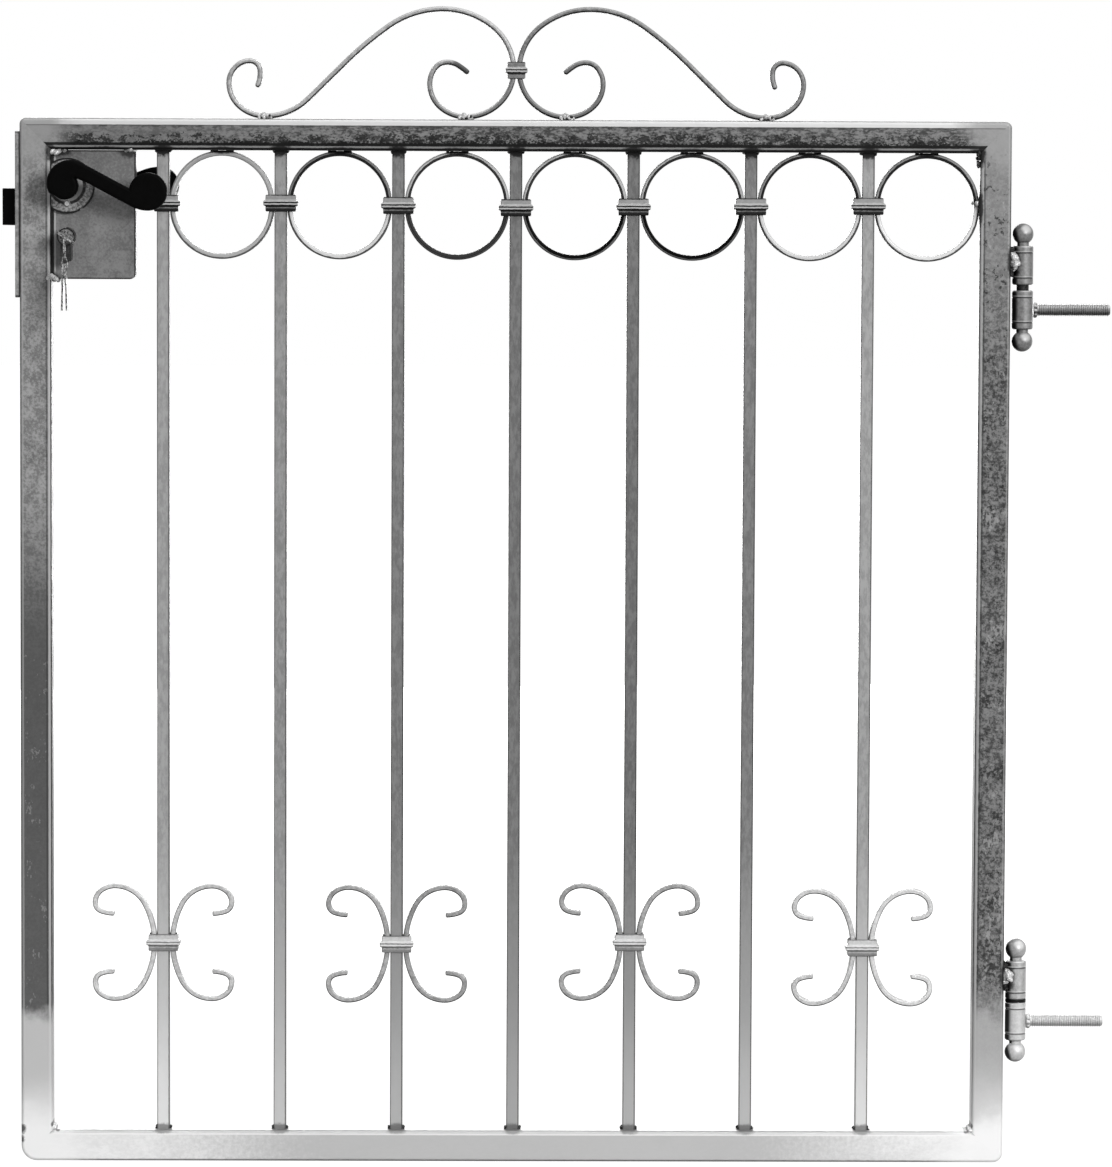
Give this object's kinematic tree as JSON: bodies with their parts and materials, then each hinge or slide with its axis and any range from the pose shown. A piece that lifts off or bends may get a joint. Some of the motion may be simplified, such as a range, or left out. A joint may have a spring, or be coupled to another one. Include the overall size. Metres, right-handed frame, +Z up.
{
  "type": "pedestrian gate",
  "caption": "Hinged steel garden gate leaf with a tube frame, bar and ring infill, scrolled ornament, lift-off barrel hinges on threaded studs, and a sprung latch with levers and key cylinder.",
  "frame": {"origin": "where the lower hinge stud leaves the weld at its barrel, on the stud's axis", "axes": "+X along the stud into the post, +Z up, -Y towards the viewer of the pictured face"},
  "size_m": [1.058, 0.1185, 1.1075],
  "materials": {
    "frame_tube": "mill-finish tube, mottled zinc grey",
    "infill_bar": "rolled square bar, satin",
    "ring_bar": "bent flat bar, satin",
    "scroll_bar": "bent flat bar, satin",
    "forged_collar": "wrapped band, satin",
    "hinge_steel": "turned, smooth satin",
    "pin_steel": "dull",
    "stud_steel": "rolled thread, dull zinc",
    "washer_steel": "dark, dull",
    "lock_steel": "satin grey",
    "forend_steel": "satin",
    "screw_zinc": "zinc plated",
    "rose_steel": "satin grey",
    "lever_black": "black, half gloss",
    "latch_black": "black, half gloss",
    "spindle_steel": "drawn bar",
    "spring_steel": "bright wire",
    "cylinder_nickel": "satin nickel",
    "key_nickel": "satin nickel",
    "key_ring_wire": "bright wire"
  },
  "bodies": {
    "post_hinges": {"lower_post_barrel": "hinge_steel", "upper_post_barrel": "hinge_steel", "hinge_pins": "pin_steel", "lower_stud": "stud_steel", "upper_stud": "stud_steel"},
    "washer": {"thrust_washer": "washer_steel"},
    "leaf": {"top_rail": "frame_tube", "bottom_rail": "frame_tube", "hinge_stile": "frame_tube", "lock_stile": "frame_tube", "bar_1": "infill_bar", "bar_2": "infill_bar", "bar_3": "infill_bar", "bar_4": "infill_bar", "bar_5": "infill_bar", "bar_6": "infill_bar", "bar_7": "infill_bar", "ring_1": "ring_bar", "ring_2": "ring_bar", "ring_3": "ring_bar", "ring_4": "ring_bar", "ring_5": "ring_bar", "ring_6": "ring_bar", "ring_7": "ring_bar", "c_scroll_1_left": "scroll_bar", "c_scroll_1_right": "scroll_bar", "c_scroll_3_left": "scroll_bar", "c_scroll_3_right": "scroll_bar", "c_scroll_5_left": "scroll_bar", "c_scroll_5_right": "scroll_bar", "c_scroll_7_left": "scroll_bar", "c_scroll_7_right": "scroll_bar", "top_scroll_left": "scroll_bar", "top_scroll_right": "scroll_bar", "ring_collars": "forged_collar", "scroll_collars": "forged_collar", "top_collar": "forged_collar", "lower_leaf_barrel": "hinge_steel", "upper_leaf_barrel": "hinge_steel", "lock_case": "lock_steel", "lock_cover": "lock_steel", "forend_plate": "forend_steel", "case_screws": "screw_zinc", "forend_screws": "screw_zinc", "rose_screws": "screw_zinc", "cylinder_screw": "screw_zinc", "front_rose": "rose_steel", "back_rose": "rose_steel", "latch_spring": "spring_steel", "lock_cylinder": "cylinder_nickel"},
    "latch": {"latch_bolt": "latch_black"},
    "lever": {"front_lever": "lever_black", "back_lever": "lever_black", "spindle": "spindle_steel", "follower": "spindle_steel"},
    "key": {"cylinder_plug": "cylinder_nickel", "lock_key": "key_nickel"},
    "key_bunch": {"key_ring": "key_ring_wire", "spare_keys": "key_nickel"}
  },
  "joints": [
    {"name": "leaf_swing", "type": "hinge", "parent": "post_hinges", "child": "washer", "pos_m": [-0.014, 0, 0], "axis": [0, 0, -1], "range_deg": [0, 100]},
    {"name": "leaf_lift", "type": "slide", "parent": "washer", "child": "leaf", "axis": [0, 0, 1], "range_m": [0, 0.03]},
    {"name": "lever_turn", "type": "hinge", "parent": "leaf", "child": "lever", "pos_m": [-0.9255, 0, 0.7998], "axis": [0, 1, 0], "range_deg": [0, 40], "stiffness_Nm_per_rad": 1.5, "springref_deg": -20.05},
    {"name": "latch_slide", "type": "slide", "parent": "leaf", "child": "latch", "axis": [1, 0, 0], "range_m": [0, 0.013], "deforming": ["latch_spring"]},
    {"name": "key_turn", "type": "hinge", "parent": "leaf", "child": "key", "pos_m": [-0.9255, 0, 0.7515], "axis": [0, -1, 0], "range_deg": [-2, 68]},
    {"name": "bunch_swing", "type": "hinge", "parent": "leaf", "child": "key_bunch", "pos_m": [-0.9255, -0.05225, 0.7515], "axis": [0, 1, 0], "range_deg": [-12, 12]}
  ],
  "couplings": [
    {"joint": "latch_slide", "follows": "lever_turn", "m_per_rad": 0.01862}
  ]
}
